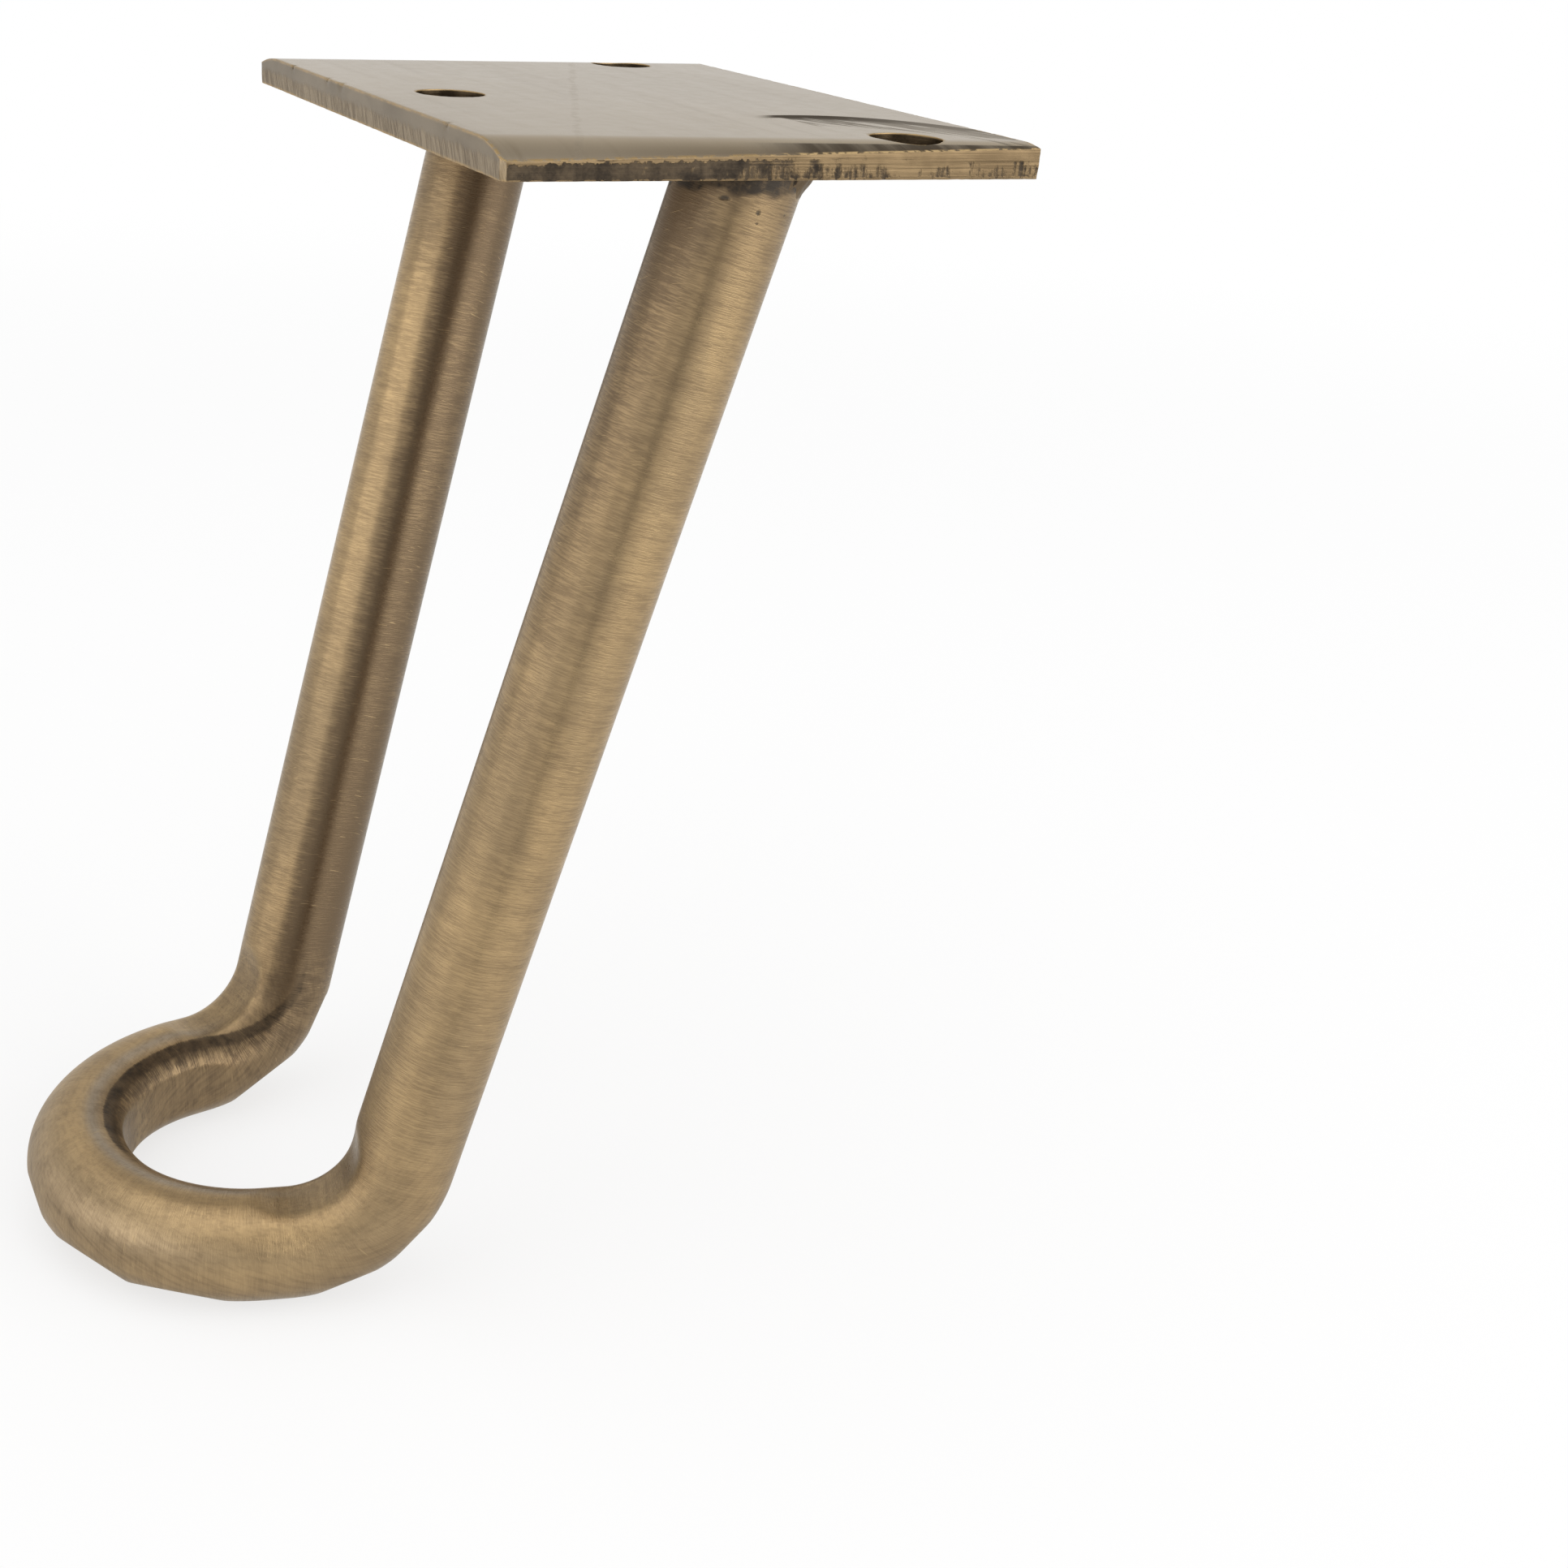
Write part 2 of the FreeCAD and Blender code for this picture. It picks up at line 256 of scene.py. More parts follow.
# Brush marks: short fine lines that a belt left, square to the first axis of the place and a little crossed
def make_brush_marks():
    group, given, result = new_group(
        "brush_marks", {"Place": (0, 0, 0), "Across": 8000.0, "Along": 450.0},
        ("Marks", "Scratches", "Bands", "Height"))
    scale = add(group, "ShaderNodeCombineXYZ",
                {"X": given["Across"], "Y": given["Along"], "Z": given["Along"]}).outputs[0]

    def pass_of_belt(angle, axis, detail=2.0):
        place = turned(group, given["Place"], angle, axis)
        return grain(group, stretched(group, place, scale), Detail=detail, Roughness=0.6)

    straight = pass_of_belt(0.0, "Z_AXIS", 3.0)
    crossed = maths(group, "ADD", pass_of_belt(0.16, "Z_AXIS"), pass_of_belt(-0.13, "Y_AXIS"))
    together = maths(group, "ADD", times(group, straight, 0.5), times(group, crossed, 0.25))
    marks = ramp(group, together, 0.42, 0.58)
    broad = grain(group, stretched(group, given["Place"], (700.0, 60.0, 60.0)), Detail=3.0)
    scratches = ramp(group, pass_of_belt(0.5, "Z_AXIS", 1.0), 0.70, 0.76)
    height = above(group, marks, times(group, scratches, 0.6))
    feed(group, result,
         {"Marks": marks, "Scratches": scratches, "Bands": ramp(group, broad, 0.3, 0.7), "Height": height})
    return group


# Toner: the brown that an antique finish leaves in cloudy patches
def make_toner_clouds():
    group, given, result = new_group(
        "toner_clouds", {"Place": (0, 0, 0), "Size": (40.0, 60.0, 60.0)}, ("Clouds", "Mottle"))
    sized = stretched(group, given["Place"], given["Size"])
    clouds = grain(group, sized, Detail=4.0, Roughness=0.55, Distortion=0.4)
    mottle = grain(group, given["Place"], Scale=520.0, Detail=5.0, Roughness=0.65)
    feed(group, result, {"Clouds": ramp(group, clouds, 0.3, 0.7), "Mottle": ramp(group, mottle, 0.32, 0.68)})
    return group


# Pits: tiny dark holes left in the surface, sparse and of uneven size
def make_pits():
    group, given, result = new_group(
        "pits", {"Place": (0, 0, 0), "Scale": 420.0, "Amount": 0.5}, ("Pits", "Height"))
    warped = times(group, grain(group, given["Place"], Scale=900.0), 0.35)
    cells = add(group, "ShaderNodeTexVoronoi", {"Vector": given["Place"], "Scale": given["Scale"]}).outputs
    distance = maths(group, "ADD", cells["Distance"], warped)
    chance = add(group, "ShaderNodeSeparateColor", {"Color": cells["Color"]}).outputs[0]
    width = ramp(group, maths(group, "ADD", chance, given["Amount"]), 0.95, 1.5, 0.0, 0.36)
    pits = maths(group, "MULTIPLY", above(group, width, distance), 9.0, clamp=True)
    feed(group, result, {"Pits": pits, "Height": times(group, pits, -1.0)})
    return group


BRUSH_MARKS, TONER_CLOUDS, PITS = make_brush_marks(), make_toner_clouds(), make_pits()

# Colours of the finish, from rubbed gold to the dark that toner and heat leave; some of them also paint
# shade, sheen, highlights and dark reflections
RUBBED_AND_HIGHLIGHT_GOLD = (0.50, 0.355, 0.18, 1)
RELIEVED = (0.47, 0.327, 0.165, 1)
OLIVE = (0.35, 0.25, 0.135, 1)
SHEEN_GREY = (0.37, 0.31, 0.235, 1)
TONER_AND_SHADE_BROWN = (0.155, 0.106, 0.06, 1)
DARK_PITS_AND_REFLECTIONS = (0.035, 0.026, 0.018, 1)
POLISHED, POLISHED_PALE = (0.43, 0.365, 0.28, 1), (0.50, 0.43, 0.335, 1)
EDGE_DARK, EDGE_BROWN = (0.026, 0.019, 0.013, 1), (0.10, 0.072, 0.044, 1)
EDGE_GOLD, EDGE_PALE_GOLD = (0.155, 0.108, 0.059, 1), (0.215, 0.151, 0.082, 1)
BURNISHED, BURNISHED_PALE, TORN_LINE = (0.185, 0.15, 0.108, 1), (0.25, 0.205, 0.15, 1), (0.38, 0.31, 0.22, 1)
BORE_DARK, BORE_BROWN = (0.03, 0.021, 0.013, 1), (0.085, 0.06, 0.035, 1)
SINGED = (0.075, 0.056, 0.038, 1)

# What each surface's reflections at a low angle are tinted with
BAR_TINT = (0.86, 0.83, 0.78, 1)
POLISHED_TINT = (0.63, 0.59, 0.53, 1)
SATIN_TINT = (0.85, 0.82, 0.78, 1)
TORN_TINT = (0.85, 0.83, 0.8, 1)
BORE_TINT = (0.5, 0.47, 0.43, 1)

# Pits that the welding left near the front upright's top: place and size, in mm
BAR_PITS = (((-5.2, -36.7, -4.9), 0.8), ((-2.3, -37.6, -7.1), 0.65), ((1.0, -36.9, -6.5), 0.5))


def new_finish(name, tint, dull=0.0):
    """A metal material, its node tree and its shader. dull is the gloss of what isn't metal on it."""
    material = bpy.data.materials.new(name)
    material.use_nodes = True
    tree = material.node_tree
    shader = tree.nodes["Principled BSDF"]
    feed(tree, shader, {"Metallic": 1, "Specular Tint": tint, "Specular IOR Level": dull})
    return material, tree, shader


def make_brushed_brass():
    """The bar: brushed round and round, with toner left in the marks, painted shade on its shaded sides, and
    on the foot a painted dark reflection band, a painted sheen and a painted highlight line.
    """
    material, tree, shader = new_finish("brushed_brass", BAR_TINT, dull=0.3)
    feed(tree, shader, {"Anisotropic": 0.65, "Coat Roughness": 0.4})
    place = attribute(tree, "bar_place", "Vector")
    brushed = use(tree, BRUSH_MARKS, Place=place)
    clouds = use(tree, TONER_CLOUDS, Place=place, Size=(38.0, 110.0, 110.0))
    mottle = clouds["Mottle"]
    foot, land, scorched = (attribute(tree, name) for name in ("foot", "land", "scorched"))

    slanted = turned(tree, place, -0.5, "Y_AXIS")
    lengthwise = grain(tree, stretched(tree, slanted, (80.0, 260.0, 260.0)), Detail=3.0, Distortion=1.2)
    hairs = ramp(tree, grain(tree, stretched(tree, slanted, (200.0, 2600.0, 2600.0)), Detail=4.0), 0.4, 0.7)
    unmarked = rest(tree, brushed["Marks"])
    # A painted dark reflection band along the foot's inner top, with painted shade spilling below it
    painted_dark_band = add_up(tree, attribute(tree, "painted_dark_band"), (unmarked, 0.22), (mottle, 0.16))
    painted_dark_band = ramp(tree, painted_dark_band, 0.36, 1.12)
    # This toner also lays on the painted shade and the painted dark reflection band.
    toner = add_up(
        tree, times(tree, land, 0.22),
        (attribute(tree, "painted_shade"), 0.46),
        (unmarked, between(tree, foot, 0.32, 0.09)),
        (above(tree, lengthwise, 0.46), between(tree, foot, 0.1, 0.42)),
        (hairs, between(tree, foot, 0.04, 0.22)),
        (brushed["Bands"], 0.16), (scorched, 0.75), (painted_dark_band, 0.8), (foot, -0.04), (mottle, 0.12),
        clamp=True)

    pitting = use(tree, PITS, Place=place, Scale=330.0, Amount=attribute(tree, "pitted"))["Pits"]
    for centre, size in BAR_PITS:
        radius = size * MM
        arm = on_vectors(tree, "SUBTRACT", object_place(tree), Vector(centre) * MM)
        gap = on_vectors(tree, "LENGTH", stretched(tree, arm, (1, 1, 2.4)))
        ragged = add_up(tree, gap, (mottle, 0.5 * MM))
        pitting = greatest(tree, pitting, ramp(tree, ragged, radius, 0.35 * radius, 0.0, 0.85))
    charred = times(tree, ramp(tree, scorched, 0.5, 0.9), ramp(tree, mottle, 0.0, 0.6, 0.55, 1.0))
    # Over the toner go a painted sheen, rubbed gold at the lands' rims with a painted highlight line along
    # the toe, and the painted dark band
    rubbed_rim_and_highlight = times(tree, attribute(tree, "rubbed_rim_and_highlight"), ramp(tree, mottle, 0.2, 0.7))
    colour = painted(
        tree, blend(tree, clouds["Clouds"], OLIVE, RELIEVED),
        (attribute(tree, "painted_sheen"), SHEEN_GREY),
        (toner, TONER_AND_SHADE_BROWN),
        (times(tree, rubbed_rim_and_highlight, 0.3), RUBBED_AND_HIGHLIGHT_GOLD),
        (times(tree, brushed["Scratches"], 0.5), RUBBED_AND_HIGHLIGHT_GOLD),
        (times(tree, painted_dark_band, between(tree, mottle, 0.4, 0.95)), DARK_PITS_AND_REFLECTIONS),
        (greatest(tree, pitting, charred), DARK_PITS_AND_REFLECTIONS))

    rough = add_up(tree, 0.40, (brushed["Marks"], -0.07), (clouds["Clouds"], -0.05), (land, -0.08),
                   (foot, 0.05), (scorched, 0.14))
    dulled = add_up(tree, times(tree, scorched, 0.4), (painted_dark_band, 0.35))
    unmetal_share = greatest(tree, dulled, times(tree, charred, 0.9), pitting)
    lacquered = rest(tree, greatest(tree, painted_dark_band, charred))
    lines = bump(tree, brushed["Height"], 0.011 * MM)
    round_about = add(tree, "ShaderNodeTangent", direction_type="UV_MAP", uv_map="bar_grain").outputs[0]
    feed(tree, shader, {
        "Base Color": colour, "Roughness": rough, "Metallic": rest(tree, unmetal_share, clamp=True),
        "Coat Weight": times(tree, lacquered, 0.22), "Tangent": round_about,
        "Normal": bump(tree, times(tree, pitting, -1.0), 0.12 * MM, Normal=lines)})
    return material


# The dark mark by the front inner hole: a bowed line with strokes slanting off it, in metres and radians
DARK_MARK_CENTRE = Vector((17.5, -20, 0)) * MM
DARK_MARK_TURN, DARK_MARK_BOW, DARK_MARK_CREST = 0.42, -38.0, 3.2 * MM
STROKE_TURN, STROKE_LENGTH = -0.89, 7 * MM
DARK_MARK_WIDTH = 3.4 * MM


def dark_mark_mask(tree, place):
    own = turned(tree, place, DARK_MARK_TURN, centre=DARK_MARK_CENTRE)
    own = on_vectors(tree, "SUBTRACT", own, DARK_MARK_CENTRE)
    along, across = split(tree, own)["X"], split(tree, own)["Y"]
    feather = grain(tree, stretched(tree, turned(tree, own, STROKE_TURN), (900.0, 90.0, 100.0)))
    bow = times(tree, along, along, DARK_MARK_BOW)
    inside = above(tree, maths(tree, "ADD", bow, DARK_MARK_CREST), across)
    strokes = times(tree, ramp(tree, feather, 0.4, 0.52), ramp(tree, along, -8 * MM, -4 * MM))
    reach = add_up(tree, DARK_MARK_WIDTH, (strokes, STROKE_LENGTH))
    return times(
        tree, ramp(tree, inside, 0.0, 0.4 * MM), ramp(tree, inside, reach, above(tree, reach, 1.3 * MM)),
        ramp(tree, inside, 2.4 * MM, 5.0 * MM, 1.0, 0.75), ramp(tree, along, -11 * MM, -8 * MM),
        ramp(tree, along, 12 * MM, -4 * MM, 0.75, 0.95))


# The long faint streak across the face: its slope, how far off the middle it runs and how much it wavers
STREAK_SLOPE, STREAK_START, STREAK_WAVER = -0.415, 3.9 * MM, 1.6 * MM


def streak_mask(tree, place):
    plan = split(tree, place)
    run = maths(tree, "ADD", add_up(tree, plan["X"], (plan["Y"], STREAK_SLOPE)), STREAK_START)
    run = add_up(tree, run, (grain(tree, place, Scale=110.0), STREAK_WAVER))
    return ramp(tree, maths(tree, "ABSOLUTE", run), 0.65 * MM, 0.1 * MM)


def make_polished_top():
    """The mounting face: polished, lacquered and faintly streaked, with painted shade and a painted dark
    reflection where shearing drew it down.
    """
    material, tree, shader = new_finish("polished_top", POLISHED_TINT)
    place = object_place(tree)
    along = split(tree, place)["X"]
    clouds = use(tree, TONER_CLOUDS, Place=place, Size=(30.0, 18.0, 20.0))
    mottle = clouds["Mottle"]
    streaks = grain(tree, stretched(tree, place, (420.0, 22.0, 60.0)), Detail=4.0, Roughness=0.6)
    specks = use(tree, PITS, Place=place, Scale=170.0, Amount=0.3)
    rubbed, rolled = attribute(tree, "rubbed"), attribute(tree, "rolled")
    # Painted shade and a painted dark reflection on the drawn-down roll
    shade = times(tree, rolled, rolled, ramp(tree, along, -28 * MM, 6 * MM, 0.12, 0.55))
    painted_roll_reflection = times(tree, ramp(tree, along, -5 * MM, 4 * MM), ramp(tree, rolled, 0.28, 0.42),
                    ramp(tree, streaks, 0.3, 0.6, 0.7, 1.0))
    streak = times(tree, streak_mask(tree, place), ramp(tree, mottle, 0.1, 0.9, 0.35, 1.0))
    dulled = greatest(tree, dark_mark_mask(tree, place), times(tree, painted_roll_reflection, 0.9), times(tree, streak, 0.2),
                       times(tree, specks["Pits"], 0.6))
    dots = ramp(tree, grain(tree, place, Scale=1500.0), 0.4, 0.56, 0.1, 1.0)
    colour = painted(
        tree, blend(tree, clouds["Clouds"], POLISHED, POLISHED_PALE),
        (times(tree, ramp(tree, streaks, 0.52, 0.8), 0.25), TONER_AND_SHADE_BROWN),
        (shade, TONER_AND_SHADE_BROWN),
        (dulled, DARK_PITS_AND_REFLECTIONS),
        (times(tree, ramp(tree, rubbed, 0.15, 0.75), dots), RUBBED_AND_HIGHLIGHT_GOLD))
    waves = bump(tree, clouds["Clouds"], 0.05 * MM)
    feed(tree, shader, {
        "Base Color": colour, "Metallic": rest(tree, dulled),
        "Roughness": add_up(tree, 0.10, (streaks, 0.08), (mottle, 0.03), (rubbed, 0.15)),
        "Normal": bump(tree, specks["Height"], 0.04 * MM, Normal=waves)})
    return material


def make_sheared_edge():
    """The plate's long edges: dark toner, rubbed through in gold specks and more so towards the inner end."""
    material, tree, shader = new_finish("sheared_edge", SATIN_TINT, dull=0.2)
    place = object_place(tree)
    below = attribute(tree, "below_lip")
    clouds = use(tree, TONER_CLOUDS, Place=place, Size=(300.0, 300.0, 420.0))
    blots = grain(tree, stretched(tree, place, (560.0, 560.0, 420.0)), Detail=4.0, Roughness=0.65)
    drawn = grain(tree, stretched(tree, place, (60.0, 60.0, 4200.0)), Detail=3.0)
    torn = grain(tree, stretched(tree, place, (2600.0, 2600.0, 260.0)))
    fine = grain(tree, place, Scale=1500.0)
    inner = ramp(tree, split(tree, place)["X"], -20 * MM, 16 * MM)
    rubbed = ramp(tree, attribute(tree, "rubbed"), 0.2, 0.8)
    lower = ramp(tree, add_up(tree, below, (blots, 0.8)), 1.1, 1.7)
    lip = greatest(tree, ramp(tree, add_up(tree, below, (fine, 1.2)), 1.1, 0.8, 0.0, 0.75),
                   times(tree, rubbed, ramp(tree, fine, 0.4, 0.56, 0.0, 0.9)))
    brighter_above = ramp(tree, below, 0.5, 2.4, 0.24, -0.11)
    worn = add_up(
        tree, above(tree, lip, 0.06),
        (inner, maths(tree, "ADD", brighter_above, 0.58)),
        (above(tree, blots, 0.5), between(tree, lower, 0.9, 1.5)),
        (clouds["Mottle"], 0.25),
        (above(tree, drawn, 0.5), between(tree, lower, 0.8, 0.1)),
        (above(tree, torn, 0.45), between(tree, lower, 0.0, 0.9)))
    gold = ramp(tree, worn, 0.36, 0.72)
    colour = blend(tree, gold, blend(tree, clouds["Mottle"], EDGE_DARK, EDGE_BROWN),
                   blend(tree, clouds["Clouds"], EDGE_GOLD, EDGE_PALE_GOLD))
    feed(tree, shader, {
        "Base Color": colour, "Metallic": add_up(tree, 0.3, (gold, 0.7)),
        "Roughness": add_up(tree, 0.5, (gold, -0.12)),
        "Normal": bump(tree, maths(tree, "ADD", gold, drawn), 0.05 * MM)})
    return material


def make_torn_edge():
    """The plate's outer and inner ends: a burnished band over a torn one with slanting lines."""
    material, tree, shader = new_finish("torn_edge", TORN_TINT)
    place = object_place(tree)
    leaning = turned(tree, place, 0.22, "X_AXIS")
    lines = grain(tree, stretched(tree, leaning, (300.0, 3600.0, 300.0)), Detail=3.0, Roughness=0.6)
    broad = grain(tree, stretched(tree, leaning, (200.0, 900.0, 160.0)), Detail=3.0)
    border = add_up(tree, split(tree, place)["Z"], (broad, 0.9 * MM))
    torn = ramp(tree, border, -0.7 * MM, -1.5 * MM)
    clouds = use(tree, TONER_CLOUDS, Place=place, Size=(90.0, 120.0, 200.0))
    line = times(tree, ramp(tree, lines, 0.4, 0.62), torn)
    gold = times(tree, ramp(tree, attribute(tree, "rubbed"), 0.3, 1.0),
                 ramp(tree, clouds["Mottle"], 0.2, 0.8, 0.35, 0.8))
    colour = painted(
        tree, blend(tree, clouds["Clouds"], BURNISHED, BURNISHED_PALE),
        (times(tree, torn, 0.35), TONER_AND_SHADE_BROWN),
        (times(tree, line, 0.75), TORN_LINE),
        (gold, RELIEVED))
    feed(tree, shader, {
        "Base Color": colour, "Roughness": add_up(tree, 0.34, (torn, 0.16)),
        "Normal": bump(tree, line, 0.06 * MM)})
    return material


def make_bored_wall():
    """Hole walls: dark toner that nothing rubs off, with a bright rim."""
    material, tree, shader = new_finish("bored_wall", BORE_TINT)
    place = object_place(tree)
    mottle = use(tree, TONER_CLOUDS, Place=place)["Mottle"]
    bored = grain(tree, stretched(tree, place, (120.0, 120.0, 4200.0)), Detail=3.0, Roughness=0.6)
    colour = painted(
        tree, blend(tree, mottle, BORE_DARK, BORE_BROWN),
        (ramp(tree, attribute(tree, "rubbed"), 0.7, 1.0), RELIEVED))
    feed(tree, shader, {
        "Base Color": colour, "Roughness": add_up(tree, 0.32, (bored, 0.2)),
        "Normal": bump(tree, bored, 0.03 * MM)})
    return material


def make_toned_underside():
    """The underside: satin, toned in cloudy patches, darker round the welds."""
    material, tree, shader = new_finish("toned_underside", SATIN_TINT)
    place = object_place(tree)
    clouds = use(tree, TONER_CLOUDS, Place=place, Size=(60.0, 60.0, 60.0))
    brushed = use(tree, BRUSH_MARKS, Place=place, Across=3600.0, Along=120.0)
    scorched = attribute(tree, "scorched")
    toner = add_up(tree, 0.15, (rest(tree, brushed["Marks"]), 0.35), (scorched, 0.7), clamp=True)
    colour = painted(
        tree, blend(tree, clouds["Clouds"], OLIVE, RELIEVED),
        (toner, TONER_AND_SHADE_BROWN),
        (attribute(tree, "rubbed"), RUBBED_AND_HIGHLIGHT_GOLD))
    feed(tree, shader, {
        "Base Color": colour, "Roughness": add_up(tree, 0.42, (brushed["Marks"], -0.08)),
        "Normal": bump(tree, brushed["Height"], 0.006 * MM)})
    return material


def make_weld_brass():
    """The beads: ground nearly smooth, darkest by the plate, with pits that the wheel left."""
    material, tree, shader = new_finish("weld_brass", SATIN_TINT, dull=0.2)
    place = object_place(tree)
    clouds = use(tree, TONER_CLOUDS, Place=place, Size=(260.0, 260.0, 260.0))
    mottle = clouds["Mottle"]
    pits = use(tree, PITS, Place=place, Scale=520.0, Amount=0.62)
    toner = ramp(tree, split(tree, place)["Z"], -7.5 * MM, -3.6 * MM, 0.3, 0.92)
    colour = painted(
        tree, blend(tree, mottle, OLIVE, RELIEVED),
        (toner, blend(tree, clouds["Clouds"], SINGED, TONER_AND_SHADE_BROWN)),
        (pits["Pits"], DARK_PITS_AND_REFLECTIONS))
    lumps = bump(tree, mottle, 0.08 * MM)
    feed(tree, shader, {
        "Base Color": colour, "Roughness": add_up(tree, 0.4, (mottle, 0.12)),
        "Normal": bump(tree, pits["Height"], 0.15 * MM, Normal=lumps)})
    return material


BMVert, BMEdge = bmesh.types.BMVert, bmesh.types.BMEdge
SHARP_ANGLE = math.radians(35)


def only(kind, items):
    return [item for item in items if isinstance(item, kind)]


def grow_ring(bm, edges):
    """Grows a ring of edges, which still lies on the old one, and gives its points and edges."""
    grown = bmesh.ops.extrude_edge_only(bm, edges=edges)["geom"]
    verts = only(BMVert, grown)
    new = set(verts)
    return verts, [edge for edge in only(BMEdge, grown) if new.issuperset(edge.verts)]


def new_layers(bm, *names):
    return {name: bm.verts.layers.float.new(name) for name in names}


def new_piece(bm, name, *materials):
    mesh = bpy.data.meshes.new(name)
    bm.to_mesh(mesh)
    bm.free()
    for material in materials:
        mesh.materials.append(material)
    piece = bpy.data.objects.new(name, mesh)
    scene.collection.objects.link(piece)
    return piece


def finish_piece(bm, name, materials, nodes):
    """Makes the mesh an object that stands for CAD nodes, with its sharp edges drawn sharp."""
    for face in bm.faces:
        face.smooth = True
    for edge in bm.edges:
        edge.smooth = not (edge.is_manifold and edge.calc_face_angle(0) > SHARP_ANGLE)
    piece = new_piece(bm, name, *materials)
    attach(piece, "root")
    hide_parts(*nodes)


# Bent bar: a ring of points carried down one upright, round the foot and up the other
BAR_SIDES = 144
RING_STEP, UPRIGHT_STEP = 0.4 * MM, 4 * MM
FINE_RUN, FINE_TOP = 9 * MM, 12 * MM
# How far the bar is grown past its ends and cut off again, and how far they reach into the plate
OVERLENGTH, BAR_TUCK = 3 * MM, 0.02 * MM
GRAIN_SCALE = 10

# The bending pins' lands, their depths and how softly they end, and how near the pin a point has to be
KICK_LAND_DEPTH = {NEAR: 0.65 * MM, FAR: 0.8 * MM}
TOE_LAND_DEPTH, TOE_SHALLOW_LAND, TOE_PIN_SHIFT = 1.2 * MM, 0.7 * MM, 1.9 * MM
KICK_LAND_EASE, TOE_LAND_EASE, TOE_SHALLOW_EASE = 0.8 * MM, 0.25 * MM, 0.6 * MM
PRESS_REACH, RIM_SPREAD = 1.5 * MM, 0.2 * MM
KICK_SPAN = 24 * MM
FOOT_TOP = FLOOR_LEVEL + 2.2 * BAR_RADIUS

# Small flats that the dies left outside, in mm: a place on the bar, the way it faces, and its depth
DIE_FLATS = (
    ((-28.5, -25.9, -119.0), (0.537, -0.621, -0.571), 0.2),
    ((-35.4, -24.7, -123.7), (0.167, -0.632, -0.757), 0.28),
    ((-61.2, -10.9, -123.9), (-0.674, -0.339, -0.656), 0.5),
    ((-53.5, -18.7, -124.8), (-0.373, -0.496, -0.784), 0.4),
    ((-65.1, 0.0, -121.3), (-0.975, 0.006, -0.224), 0.3),
    ((-25.3, 19.6, -115.3), (0.814, -0.460, -0.355), 0.25),
    ((-33.0, 17.8, -122.9), (0.464, -0.557, -0.689), 0.5))
FLAT_SPREAD, FLAT_EASE = 12 * MM, 0.15 * MM

# The way each upright's side with painted shade faces, and the heights between which the painted shade sets
# in
SHADED_SIDES = {NEAR: Vector((-0.93, 0.37, 0)), FAR: Vector((0.75, -0.66, 0))}
# The way the far upright's front faces, where a painted dark reflection lies along it
FAR_DARK_REFLECTION_FACING = Vector((-0.31, -0.92, 0.24))
NEAR_SHADE, FAR_SHADE = (-78 * MM, -10 * MM), (-60 * MM, -105 * MM)

# Where things set in: the foot by height, its toe and the painted sheen on the toe's top by x, the painted
# dark band by height and y
FOOT_FADE, TOE_FADE, SHEEN_FADE = (-100 * MM, -116 * MM), (-36 * MM, -46 * MM), (-42 * MM, -54 * MM)
BAND_FADE, BAND_RUN = (-99 * MM, -113 * MM), (-12 * MM, 2 * MM)
# How far up from the foot's inner side they lie, in degrees, and how wide: the painted dark reflection band
# on the level foot and where the kick has turned up, the painted sheen band, and the painted highlight line
FOOT_BAND_LEAN, KICK_BAND_LEAN = 56, 12
SHEEN_LEAN, SHEEN_WIDTH = 77, 8
HIGHLIGHT_LEAN, HIGHLIGHT_WIDTH = 88, 2.5

# How far down the bar the welding's heat reached, and how uneven its border is
SCORCH_REACH, SCORCH_CORE = {NEAR: 16 * MM, FAR: 26 * MM}, (2.4 * MM, 0.2 * MM)
SCORCH_WAVER, SCORCH_GRAIN = 1.4 * MM, 500
PIT_FADE = (6 * MM, 1.5 * MM)


class BarMaker:
    """Grows the bar ring by ring and notes each point's place along and round it."""

    def __init__(self, start, heading, first_side):
        self.bm = bmesh.new()
        self.place = self.bm.verts.layers.float_vector.new("bar_place")
        self.radial = self.bm.verts.layers.float_vector.new("radial")
        self.along = 0.0
        bmesh.ops.create_circle(self.bm, segments=BAR_SIDES, radius=BAR_RADIUS)
        side = (first_side - heading * first_side.dot(heading)).normalized()
        turn = Matrix((side, heading.cross(side), heading)).transposed().to_4x4()
        bmesh.ops.transform(self.bm, matrix=Matrix.Translation(start) @ turn, verts=self.bm.verts)
        self.centre = start.copy()
        self.ring = self.bm.edges[:]
        for vert in self.bm.verts:
            spoke = turn.to_3x3().transposed() @ (vert.co - start)
            vert[self.place] = Vector((0, spoke.x, spoke.y))
        self.note()

    def note(self):
        for vert in {vert for edge in self.ring for vert in edge.verts}:
            vert[self.place] = Vector((self.along, vert[self.place].y, vert[self.place].z))
            vert[self.radial] = (vert.co - self.centre).normalized()

    def straight(self, move, step):
        steps = max(1, round(move.length / step))
        for _ in range(steps):
            verts, self.ring = grow_ring(self.bm, self.ring)
            bmesh.ops.translate(self.bm, verts=verts, vec=move / steps)
            self.centre += move / steps
            self.along += move.length / steps
            self.note()

    def bend(self, centre, axis, angle):
        radius = (self.centre - centre).length
        steps = round(radius * angle / RING_STEP)
        for _ in range(steps):
            last = bmesh.ops.spin(
                self.bm, geom=self.ring, cent=centre, axis=axis, angle=angle / steps, steps=1,
                use_merge=False, use_duplicate=False)["geom_last"]
            self.ring = only(BMEdge, last)
            self.centre = centre + Matrix.Rotation(angle / steps, 3, axis) @ (self.centre - centre)
            self.along += radius * angle / steps
            self.note()


